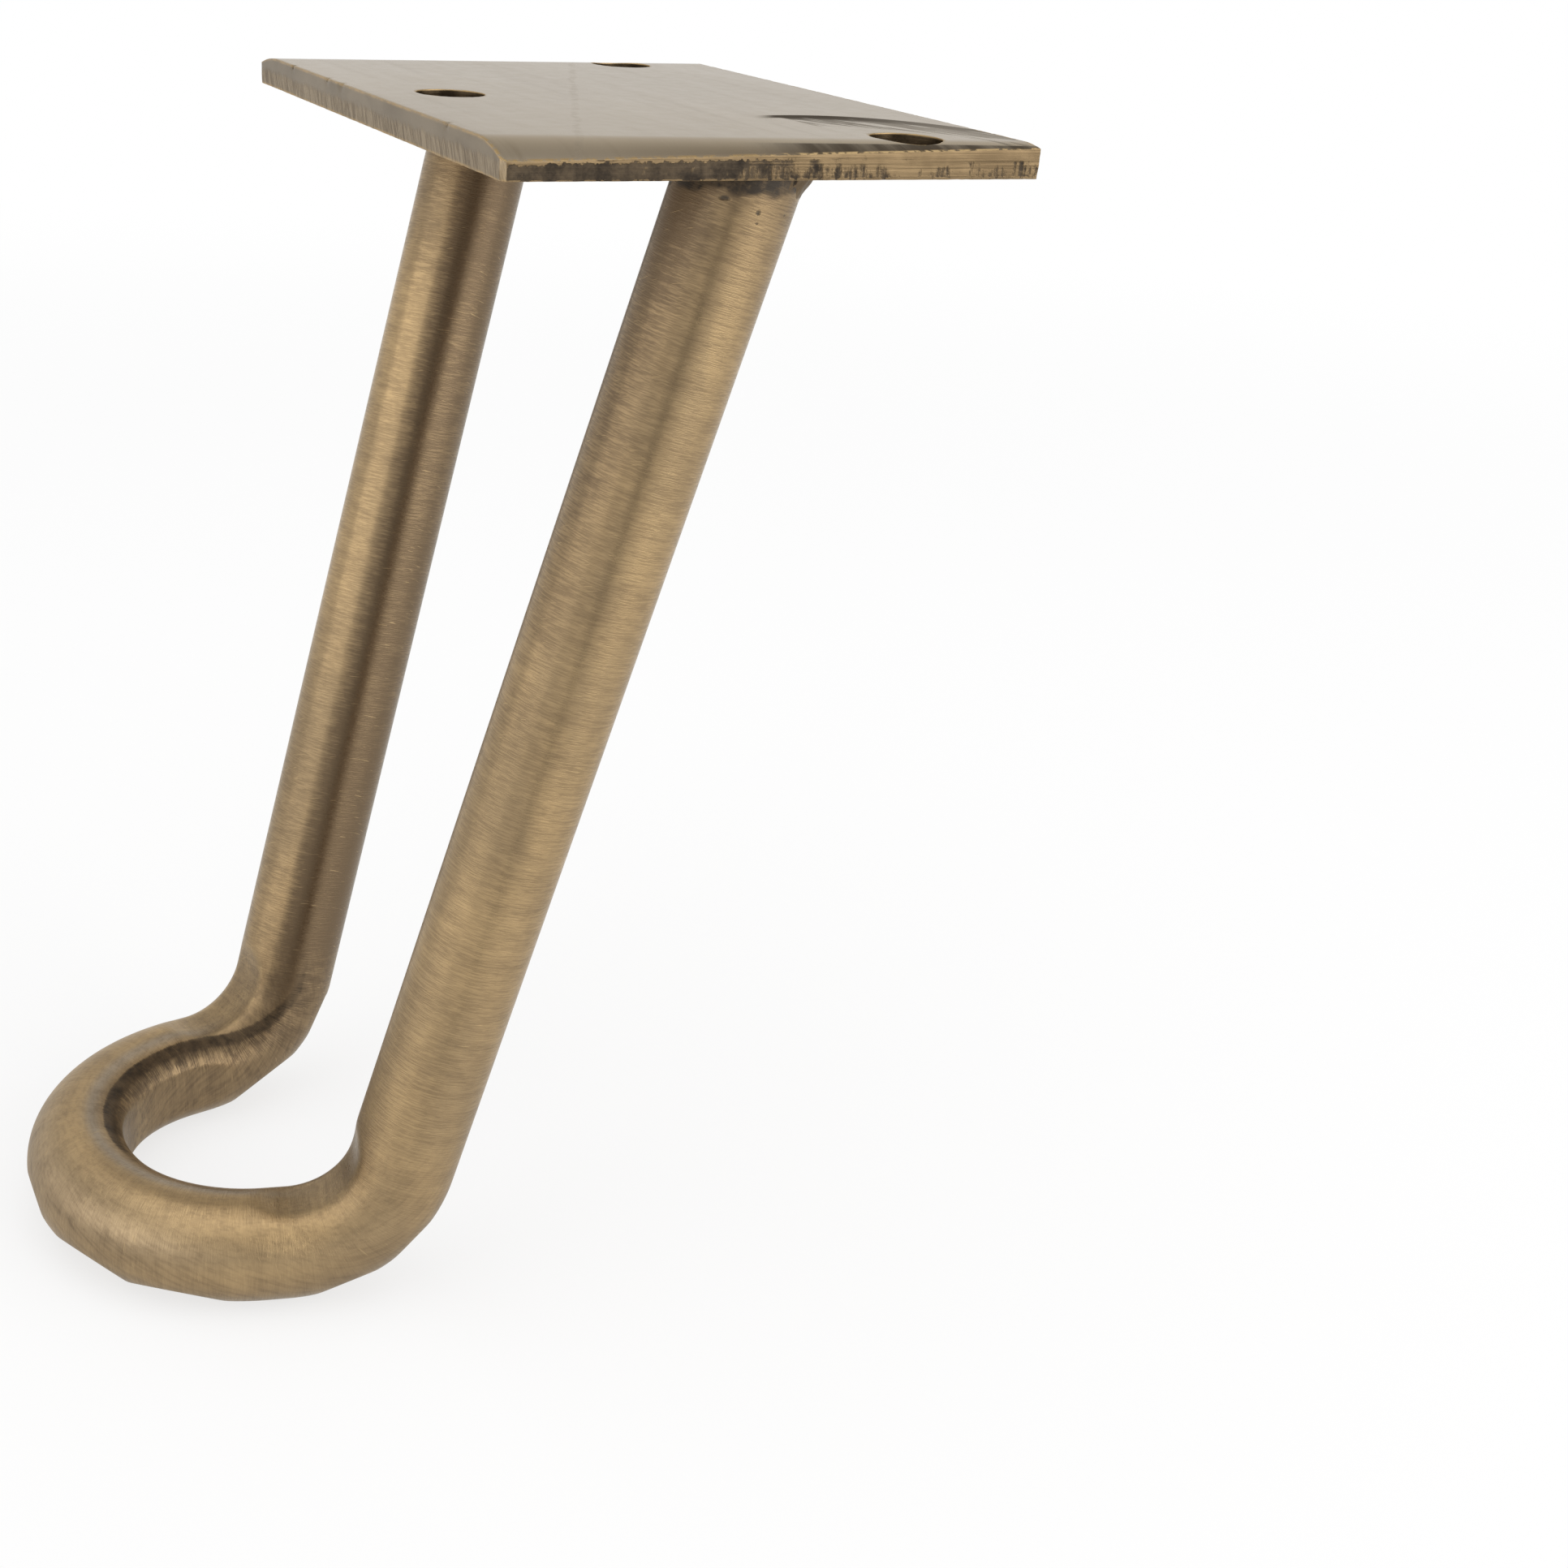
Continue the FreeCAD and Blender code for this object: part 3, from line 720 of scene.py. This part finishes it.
def grow_bar():
    near, far = kick_bend(NEAR), kick_bend(FAR)
    down = (kick_corner(NEAR) - bar_end(NEAR)).normalized()
    above_plate = bar_end(NEAR) - down * OVERLENGTH
    maker = BarMaker(above_plate, down, Vector((0, 1, 0)))
    maker.straight(down * FINE_TOP, RING_STEP)
    maker.straight(near.start - down * (FINE_RUN + FINE_TOP) - above_plate, UPRIGHT_STEP)
    maker.straight(down * FINE_RUN, RING_STEP)
    maker.bend(near.centre, near.axis, near.angle)
    maker.straight(toe_start(NEAR) - near.stop, RING_STEP)
    maker.bend(TOE_CENTRE, Vector((0, 0, -1)), math.pi - 2 * TAPER)
    maker.straight(far.stop - toe_start(FAR), RING_STEP)
    maker.bend(far.centre, -far.axis, near.angle)
    up = (bar_end(FAR) - kick_corner(FAR)).normalized()
    maker.straight(up * FINE_RUN, RING_STEP)
    maker.straight(bar_end(FAR) + up * OVERLENGTH - far.start - up * (FINE_RUN + FINE_TOP), UPRIGHT_STEP)
    maker.straight(up * FINE_TOP, RING_STEP)
    return maker


def press_pin(verts, centre, axis, radius, width, land=None, rubbed_rim_and_highlight=None):
    """Presses points outwards on to a bending pin, and notes the flat and its rim where there are layers."""
    for vert in verts:
        arm = vert.co - centre
        arm -= axis * arm.dot(axis)
        distance = arm.length
        if distance > radius + PRESS_REACH:
            continue
        pressed = smooth_max(distance, radius, width)
        vert.co += arm / distance * (pressed - distance)
        if land:
            vert[land] = max(vert[land], smooth_step(-width, width, radius - distance))
            vert[rubbed_rim_and_highlight] = max(vert[rubbed_rim_and_highlight], bell(distance, radius, RIM_SPREAD))


def press_flat(verts, point, normal, width):
    """Presses points back to a plane, as a flat die does."""
    for vert in verts:
        over = (vert.co - point).dot(normal)
        if over > -width:
            vert.co -= normal * (over + smooth_max(-over, 0, width))


def press_lands(bm, land, rubbed_rim_and_highlight):
    """Presses the lands of the pins and dies, in both kicks, round the toe and on the outside."""
    for side in (NEAR, FAR):
        kick = kick_bend(side)
        verts = [vert for vert in bm.verts if (vert.co - kick.centre).length < KICK_SPAN]
        radius = KICK_RADIUS - BAR_RADIUS + KICK_LAND_DEPTH[side]
        press_pin(verts, kick.centre, kick.axis, radius, KICK_LAND_EASE, land, rubbed_rim_and_highlight)
    foot = [vert for vert in bm.verts if vert.co.z < FOOT_TOP]
    upright = Vector((0, 0, 1))
    radius = TOE_RADIUS - BAR_RADIUS
    press_pin(foot, TOE_CENTRE, upright, radius + TOE_SHALLOW_LAND, TOE_SHALLOW_EASE)
    press_pin(foot, TOE_CENTRE + TOE_PIN_SHIFT * Vector((-1, 0, 0)), upright,
              radius + TOE_LAND_DEPTH - TOE_PIN_SHIFT, TOE_LAND_EASE, land, rubbed_rim_and_highlight)
    for place, outwards, depth in DIE_FLATS:
        place, outwards = Vector(place), Vector(outwards)
        spread = [vert for vert in foot if (vert.co - place * MM).length < FLAT_SPREAD]
        press_flat(spread, (place - outwards * depth) * MM, outwards.normalized(), FLAT_EASE)


def into_foot(side, place):
    """The level way from a place on the bar into the foot's hollow."""
    if place.x > TOE_CENTRE.x:
        return Vector((0, -side, 0))
    return Vector((TOE_CENTRE.x - place.x, TOE_CENTRE.y - place.y, 0)).normalized()


def kick_upward(side, place):
    """Which way a kick's hollow side faces at a place on the bar's middle, and how far up it is, 0 to 1."""
    kick = kick_bend(side)
    level, steep = (kick.centre - kick.stop).normalized(), (kick.centre - kick.start).normalized()
    here = kick.centre - place
    share = min(1, max(0, level.angle(here) / kick.angle))
    if here.dot(steep - level * steep.dot(level)) < 0:
        share = 0
    return level.slerp(steep, share), share


def painted_shade_at(side, place, radial, inwards, low):
    """How much painted shade darkens the bar: the uprights' shaded sides, a painted dark reflection on the
    far upright's front and, as low nears 1, the foot's underside, outer left and inner side.
    """
    upright = smooth_step(0.0, 0.75, radial.dot(SHADED_SIDES[side]))
    if side == NEAR:
        upright *= 1.2 * smooth_step(*NEAR_SHADE, place.z)
    else:
        upright = 1.4 * upright + 0.45 * smooth_step(*FAR_SHADE, place.z)
        upright += 0.8 * smooth_step(0.93, 1.0, radial.dot(FAR_DARK_REFLECTION_FACING))
    inside = max(0, radial.dot(inwards))
    beneath = max(0.75 * smooth_step(0.3, -0.7, radial.z), 0.6 * smooth_step(0.4, 0.9, -radial.x))
    return mix(upright, max(beneath, inside ** 3 if side == NEAR else 1.25 * inside), low)


def painted_dark_band_at(place, lean, raised):
    """A painted dark reflection band in the hollow between the toe's inner side and its top, with painted
    shade spilling below it.
    """
    past = lean - mix(FOOT_BAND_LEAN, KICK_BAND_LEAN, raised)
    line = smooth_step(10, 4, past) * smooth_step(mix(-18, -10, raised), -2, past)
    spill = 0.5 * smooth_step(2, -6, past) * smooth_step(-48, -12, past)
    fade = mix(1, 0.7, raised) * smooth_step(*BAND_FADE, place.z)
    return max(line, spill) * fade * smooth_step(*BAND_RUN, place.y)


def mark_bar(maker, layers):
    """Notes at every point what the finish has to know of its place."""
    for vert in maker.bm.verts:
        place, radial = vert.co, vert[maker.radial]
        side = NEAR if place.y < 0 else FAR
        inwards = into_foot(side, place)
        upward, raised = kick_upward(side, place - radial * BAR_RADIUS)
        lean = math.degrees(math.atan2(radial.dot(upward), radial.dot(inwards)))
        low = smooth_step(*FOOT_FADE, place.z)
        on_toe = low * smooth_step(*TOE_FADE, place.x)
        toe_top = low * smooth_step(-0.2, 0.5, radial.z) * smooth_step(-0.1, -0.8, radial.x)
        below = -PLATE_GAUGE - place.z
        uneven = noise.noise(place * SCORCH_GRAIN) * SCORCH_WAVER
        values = {
            "foot": low,
            "painted_shade": painted_shade_at(side, place, radial, inwards, low),
            "painted_dark_band": painted_dark_band_at(place, lean, raised),
            # A painted sheen on the toe's top and outer side, and a painted highlight line along the toe
            # added to the rubbed rims
            "painted_sheen": max(0.35 * toe_top * smooth_step(*SHEEN_FADE, place.x),
                         0.9 * on_toe * bell(lean, SHEEN_LEAN, SHEEN_WIDTH)),
            "rubbed_rim_and_highlight": max(vert[layers["rubbed_rim_and_highlight"]], 0.8 * on_toe * bell(lean, HIGHLIGHT_LEAN, HIGHLIGHT_WIDTH)),
            "scorched": max(smooth_step(*SCORCH_CORE, below + uneven),
                            0.36 * smooth_step(SCORCH_REACH[side], 1 * MM, below + 2 * uneven)),
            "pitted": mix(0.12, 0.62, smooth_step(*PIT_FADE, below + uneven))}
        for name, value in values.items():
            vert[layers[name]] = value


def cut_at_plate(bm):
    """Cuts the bar off just inside the plate and closes its ends."""
    underside = Vector((0, 0, -PLATE_GAUGE + BAR_TUCK))
    bmesh.ops.bisect_plane(bm, geom=bm.verts[:] + bm.edges[:] + bm.faces[:], plane_co=underside,
                           plane_no=(0, 0, 1), clear_outer=True)
    bmesh.ops.holes_fill(bm, edges=[edge for edge in bm.edges if edge.is_boundary], sides=0)
    bmesh.ops.recalc_face_normals(bm, faces=bm.faces)


def map_grain(bm, place):
    """The map that the brushing follows: along the bar and round it."""
    grain_map = bm.loops.layers.uv.new("bar_grain")
    for face in bm.faces:
        rounds = [math.atan2(loop.vert[place].z, loop.vert[place].y) for loop in face.loops]
        for loop, angle in zip(face.loops, rounds):
            if max(rounds) - angle > math.pi:
                angle += 2 * math.pi
            loop[grain_map].uv = (loop.vert[place].x * GRAIN_SCALE, angle * BAR_RADIUS * GRAIN_SCALE)


def make_bent_bar():
    maker = grow_bar()
    bm = maker.bm
    layers = new_layers(bm, "land", "rubbed_rim_and_highlight", "painted_shade", "scorched", "pitted", "painted_dark_band", "foot", "painted_sheen")
    press_lands(bm, layers["land"], layers["rubbed_rim_and_highlight"])
    mark_bar(maker, layers)
    cut_at_plate(bm)
    map_grain(bm, maker.place)
    finish_piece(bm, "bent_bar", [make_brushed_brass()], ["bent_rod"])


# Mounting plate: a fine blank, holed, given its gauge and drawn down along its long edges
CELL = 0.5 * MM
HOLE_BLOCK = 4 * MM
EDGE_BREAK, CORNER_BREAK = 0.17 * MM, 0.48 * MM
# Chips along the mounting face's outer edge: where, and how wide
CHIPS = ((7.5 * MM, 0.9 * MM), (12.5 * MM, 0.6 * MM), (-24 * MM, 0.6 * MM), (25 * MM, 0.5 * MM))
CHIP_DEPTH, CHIP_DROP = 0.22 * MM, 0.12 * MM
# How far the torn part of an end leans in and how far down it starts, and how the broken edges waver
TORN_LEAN, TORN_START = 0.1 * MM, 1.2 * MM
EDGE_WAVER, EDGE_GRAIN = 0.05 * MM, 900
ROLL_FADE, PLATE_SCORCH = (0.05, 0.36), (5 * MM, 0.5 * MM)
SQUARE = math.radians(50)  # an edge sharper than this is one of the blank's own
LEVEL = 0.6  # a face whose normal's z is past this lies on the top or the underside
TOP, LONG_EDGE, SHORT_EDGE, BORE, UNDERSIDE = range(5)


def roll_past(place):
    """The roll's radius at a place, and how far the place lies past where it starts."""
    inward = min(1, max(0, place.x / PLATE_LENGTH + 0.5))
    drop = mix(FRONT_ROLL_DROP if place.y < 0 else BACK_ROLL_DROP, INNER_ROLL_DROP, inward)
    reach = mix(OUTER_ROLL_REACH, INNER_ROLL_REACH, inward)
    radius = (reach ** 2 + drop ** 2) / (2 * drop)
    return radius, min(reach, max(0, abs(place.y) - (PLATE_WIDTH / 2 - reach)))


def drawn_down(place):
    """How far shearing drew the mounting face down at a place."""
    radius, past = roll_past(place)
    return radius - math.sqrt(radius ** 2 - past ** 2)


def cut_hole(bm, centre):
    """Cuts a square block of cells out and joins what is left to a round hole."""
    def near(place, reach):
        return max(abs(place.x - centre.x), abs(place.y - centre.y)) < reach

    cells = [face for face in bm.faces if near(face.calc_center_median(), HOLE_BLOCK)]
    bmesh.ops.delete(bm, geom=cells, context="FACES")
    block = [edge for edge in bm.edges
             if edge.is_boundary and all(near(vert.co, HOLE_BLOCK + 0.6 * CELL) for vert in edge.verts)]
    ring = set(grow_ring(bm, block)[0])
    for vert in ring:
        vert.co = centre + (vert.co - centre).normalized() * HOLE_RADIUS
    spokes = [edge for vert in ring for edge in vert.link_edges if not ring.issuperset(edge.verts)]
    bmesh.ops.subdivide_edges(bm, edges=spokes, cuts=3, use_grid_fill=True)


def make_blank(bm):
    bmesh.ops.create_grid(bm, x_segments=round(PLATE_LENGTH / CELL), y_segments=round(PLATE_WIDTH / CELL),
                          size=0.5)
    bmesh.ops.scale(bm, verts=bm.verts, vec=(PLATE_LENGTH, PLATE_WIDTH, 1))
    for centre in HOLES:
        cut_hole(bm, centre)
    grown = bmesh.ops.extrude_face_region(bm, geom=bm.faces[:], use_keep_orig=True)["geom"]
    bmesh.ops.translate(bm, verts=only(BMVert, grown), vec=(0, 0, -PLATE_GAUGE))
    walls = [edge for edge in bm.edges if abs(edge.verts[0].co.z - edge.verts[1].co.z) > PLATE_GAUGE / 2]
    bmesh.ops.subdivide_edges(bm, edges=walls, cuts=6, use_grid_fill=True)
    bmesh.ops.recalc_face_normals(bm, faces=bm.faces)


def break_edges(bm, edges, offset, segments, rubbed, amount):
    """Breaks edges and notes how far they are rubbed."""
    broken = bmesh.ops.bevel(bm, geom=edges, offset=offset, offset_type="OFFSET", segments=segments,
                             profile=0.5, affect="EDGES", material=-1, clamp_overlap=segments > 1)
    for vert in broken["verts"]:
        vert[rubbed] = amount


def wear_end(vert, place, depth):
    """Leans the torn lower part of an end in, and chips the outer end's upper edge."""
    vert.co.x -= math.copysign(TORN_LEAN, place.x) * smooth_step(TORN_START, PLATE_GAUGE, depth)
    for across, width in CHIPS:
        gap = math.hypot(place.y - across, depth)
        if place.x < 0 and gap < width:
            vert.co.x += CHIP_DEPTH * (1 - gap / width)
            vert.co.z -= CHIP_DROP * (1 - gap / width)


def finish_of(face):
    """Which of the plate's finishes a face has."""
    middle, normal = face.calc_center_median(), face.normal
    if abs(normal.z) > LEVEL:
        return TOP if normal.z > 0 else UNDERSIDE
    if min(flat_gap(middle, centre) for centre in HOLES) < HOLE_RADIUS + EDGE_BREAK:
        return BORE
    return LONG_EDGE if abs(normal.y) > 1.3 * abs(normal.x) else SHORT_EDGE


def make_plate():
    bm = bmesh.new()
    rubbed, rolled, below, scorched = new_layers(bm, "rubbed", "rolled", "below_lip", "scorched").values()
    make_blank(bm)
    corners = [edge for edge in bm.edges if edge.calc_face_angle(0) > SQUARE
               and edge.verts[0].co.x < 0 and flat_gap(*(vert.co for vert in edge.verts)) == 0]
    break_edges(bm, corners, CORNER_BREAK, 1, rubbed, 0.6)
    for vert in bm.verts:
        vert.co.z -= (1 + vert.co.z / PLATE_GAUGE) * drawn_down(vert.co)
    edges = [edge for edge in bm.edges if edge.calc_face_angle(0) > SQUARE]
    break_edges(bm, edges, EDGE_BREAK, 3, rubbed, 1)
    for vert in bm.verts:
        place = vert.co.copy()
        radius, past = roll_past(place)
        depth = -drawn_down(place) - place.z
        to_bar = min(flat_gap(place, bar_end(side)) for side in (NEAR, FAR)) - BAR_RADIUS
        vert[rolled] = smooth_step(*ROLL_FADE, past / radius)
        vert[below] = depth / MM
        vert[scorched] = smooth_step(*PLATE_SCORCH, to_bar)
        if abs(place.x) > PLATE_LENGTH / 2 - EDGE_BREAK:
            wear_end(vert, place, depth)
        if vert[rubbed]:
            vert.co -= vert.normal * EDGE_WAVER * abs(noise.noise(place * EDGE_GRAIN))
    for face in bm.faces:
        face.material_index = finish_of(face)
    finishes = [make_polished_top(), make_sheared_edge(), make_torn_edge(), make_bored_wall(),
                make_toned_underside()]
    finish_piece(bm, "sheared_plate", finishes, ["mounting_plate"])


# Weld beads: rings carried down from the plate and drawn in until the bar hides them
BEAD_SIDES, BEAD_RINGS = 120, 18
BEAD_REACH, BEAD_LEAN, BEAD_DEPTH = 0.7 * MM, 1.3 * MM, 4 * MM
# How far the last ring is drawn in, how fast the bead thins, and how high its lumps are
BEAD_TUCK, BEAD_THINNING, BEAD_LUMPS = 0.35 * MM, 1.25, 0.12 * MM


def make_weld(side, name, node, material):
    down = (kick_corner(side) - bar_end(side)).normalized()
    lean = Vector((1, -side, 0)).normalized() * BEAD_LEAN
    bm = bmesh.new()
    ring = bmesh.ops.create_circle(bm, segments=BEAD_SIDES, radius=BAR_RADIUS)["verts"]
    edges = bm.edges[:]
    centre, width = Vector(), 1.0
    for step in range(BEAD_RINGS + 1):
        if step:
            ring, edges = grow_ring(bm, edges)
        share = step / BEAD_RINGS
        swell = (1 - share) ** BEAD_THINNING
        level = bar_end(side) - down * (share * BEAD_DEPTH / down.z) + lean * swell
        size = 1 + (BEAD_REACH * swell - BEAD_TUCK * share) / BAR_RADIUS
        bmesh.ops.translate(bm, verts=ring, vec=level - centre)
        bmesh.ops.scale(bm, verts=ring, vec=(size / width, size / width, 1), space=Matrix.Translation(-level))
        centre, width = level, size
    bmesh.ops.holes_fill(bm, edges=[edge for edge in bm.edges if edge.is_boundary], sides=0)
    bmesh.ops.recalc_face_normals(bm, faces=bm.faces)
    bm.normal_update()
    for vert in bm.verts:
        if vert.co.z < -PLATE_GAUGE - 0.05 * MM:
            lumps = noise.noise(vert.co * 700) + 0.5 * noise.noise(vert.co * 1900)
            vert.co += Vector((vert.normal.x, vert.normal.y, 0)) * BEAD_LUMPS * lumps
    finish_piece(bm, name, [material], [node])


# Studio: a pale floor, a white room with a darker upper wall, two large soft lamps and one overhead
WHITE, FLOOR_PAINT = (1, 1, 1, 1), (0.95, 0.95, 0.95, 1)
UPPER_WALL, CARD_BLACK = (0.62, 0.61, 0.59, 1), (0.02, 0.018, 0.016, 1)
ROOM_FILL, FLOOR_RADIUS = 0.62, 6
LAMP_AIM = Vector((-0.02, 0, -0.06))
# A lamp's name, place, size and power
LAMPS = (("left_lamp", (-1.05, -0.12, 0.25), (1.1, 0.9), 2.3),
         ("right_lamp", (0.75, -0.80, 0.3), (1.1, 0.9), 6.3),
         ("top_lamp", (-0.1, -0.15, 1.0), (1.5, 1.5), 5.0))
CARD_WIDTH, CARD_HEIGHT, CARD_REACH, CARD_TURN = 0.062, 0.8, 0.31, math.radians(-17)


def seen_itself(tree):
    """1 where a thing itself is seen, also mirrored or through glass, and 0 where it only lights others."""
    ray = add(tree, "ShaderNodeLightPath").outputs
    return greatest(tree, ray["Is Camera Ray"], ray["Is Glossy Ray"], ray["Is Transmission Ray"])


def light_room():
    world = bpy.data.worlds.new("studio_room")
    scene.world = world
    world.use_nodes = True
    tree = world.node_tree
    tree.nodes.clear()
    height = split(tree, add(tree, "ShaderNodeTexCoord").outputs["Generated"])["Z"]
    upper = times(tree, ramp(tree, height, 0.2, 0.75), ramp(tree, height, 0.97, 0.85))
    wall = add(tree, "ShaderNodeBackground", {"Color": blend(tree, upper, WHITE, UPPER_WALL)})
    fill = add(tree, "ShaderNodeBackground", {"Color": WHITE, "Strength": ROOM_FILL})
    room = add(tree, "ShaderNodeMixShader", {0: seen_itself(tree), 1: fill.outputs[0], 2: wall.outputs[0]})
    add(tree, "ShaderNodeOutputWorld", {"Surface": room.outputs[0]})


def hang_lamp(name, place, size, power):
    light = bpy.data.lights.new(name, "AREA")
    light.shape = "RECTANGLE"
    light.size, light.size_y = size
    light.energy = power
    lamp = bpy.data.objects.new(name, light)
    scene.collection.objects.link(lamp)
    lamp.location = place
    lamp.rotation_mode = "QUATERNION"
    lamp.rotation_quaternion = (LAMP_AIM - Vector(place)).to_track_quat("-Z", "Y")


def bare_material(name):
    material = bpy.data.materials.new(name)
    material.use_nodes = True
    material.node_tree.nodes.clear()
    return material, material.node_tree


def stage_piece(bm, name, material):
    piece = new_piece(bm, name, material)
    return piece


def lay_floor():
    """A matt floor that is also seen as white, and wholly so away from the leg."""
    material, tree = bare_material("pale_floor")
    matt = add(tree, "ShaderNodeBsdfDiffuse", {"Color": FLOOR_PAINT})
    white = add(tree, "ShaderNodeEmission", {"Color": WHITE})
    away = on_vectors(tree, "LENGTH", object_place(tree))
    share = times(tree, seen_itself(tree), ramp(tree, away, 0.3, 0.75, 0.72, 1.0))
    surface = add(tree, "ShaderNodeMixShader", {0: share, 1: matt.outputs[0], 2: white.outputs[0]})
    add(tree, "ShaderNodeOutputMaterial", {"Surface": surface.outputs[0]})
    bm = bmesh.new()
    bmesh.ops.create_circle(bm, cap_ends=True, segments=96, radius=FLOOR_RADIUS)
    bmesh.ops.translate(bm, verts=bm.verts, vec=(0, 0, FLOOR_LEVEL))
    stage_piece(bm, "floor", material)


def stand_card():
    """A dark card that is seen only in the metal, as between two lamps in a studio."""
    material, tree = bare_material("dark_card")
    grey = add(tree, "ShaderNodeEmission", {"Color": CARD_BLACK})
    add(tree, "ShaderNodeOutputMaterial", {"Surface": grey.outputs[0]})
    turn = Matrix.Rotation(CARD_TURN, 3, "Z")
    bm = bmesh.new()
    bmesh.ops.create_grid(bm, x_segments=1, y_segments=1, size=0.5)
    bmesh.ops.scale(bm, verts=bm.verts, vec=(CARD_WIDTH, CARD_HEIGHT, 1))
    bmesh.ops.rotate(bm, verts=bm.verts, matrix=Matrix.Rotation(math.radians(90), 3, "X"))
    bmesh.ops.rotate(bm, verts=bm.verts, matrix=turn)
    stand = turn @ Vector((0, -CARD_REACH, 0)) + Vector((0, 0, FLOOR_LEVEL + CARD_HEIGHT / 2))
    bmesh.ops.translate(bm, verts=bm.verts, vec=stand)
    card = stage_piece(bm, "dark_card", material)
    for seen_by in ("camera", "diffuse", "shadow", "transmission"):
        setattr(card, f"visible_{seen_by}", False)


place_camera()
make_bent_bar()
make_plate()
weld_brass = make_weld_brass()
make_weld(NEAR, "front_bead", "near_weld", weld_brass)
make_weld(FAR, "back_bead", "far_weld", weld_brass)
light_room()
for lamp in LAMPS:
    hang_lamp(*lamp)
lay_floor()
stand_card()
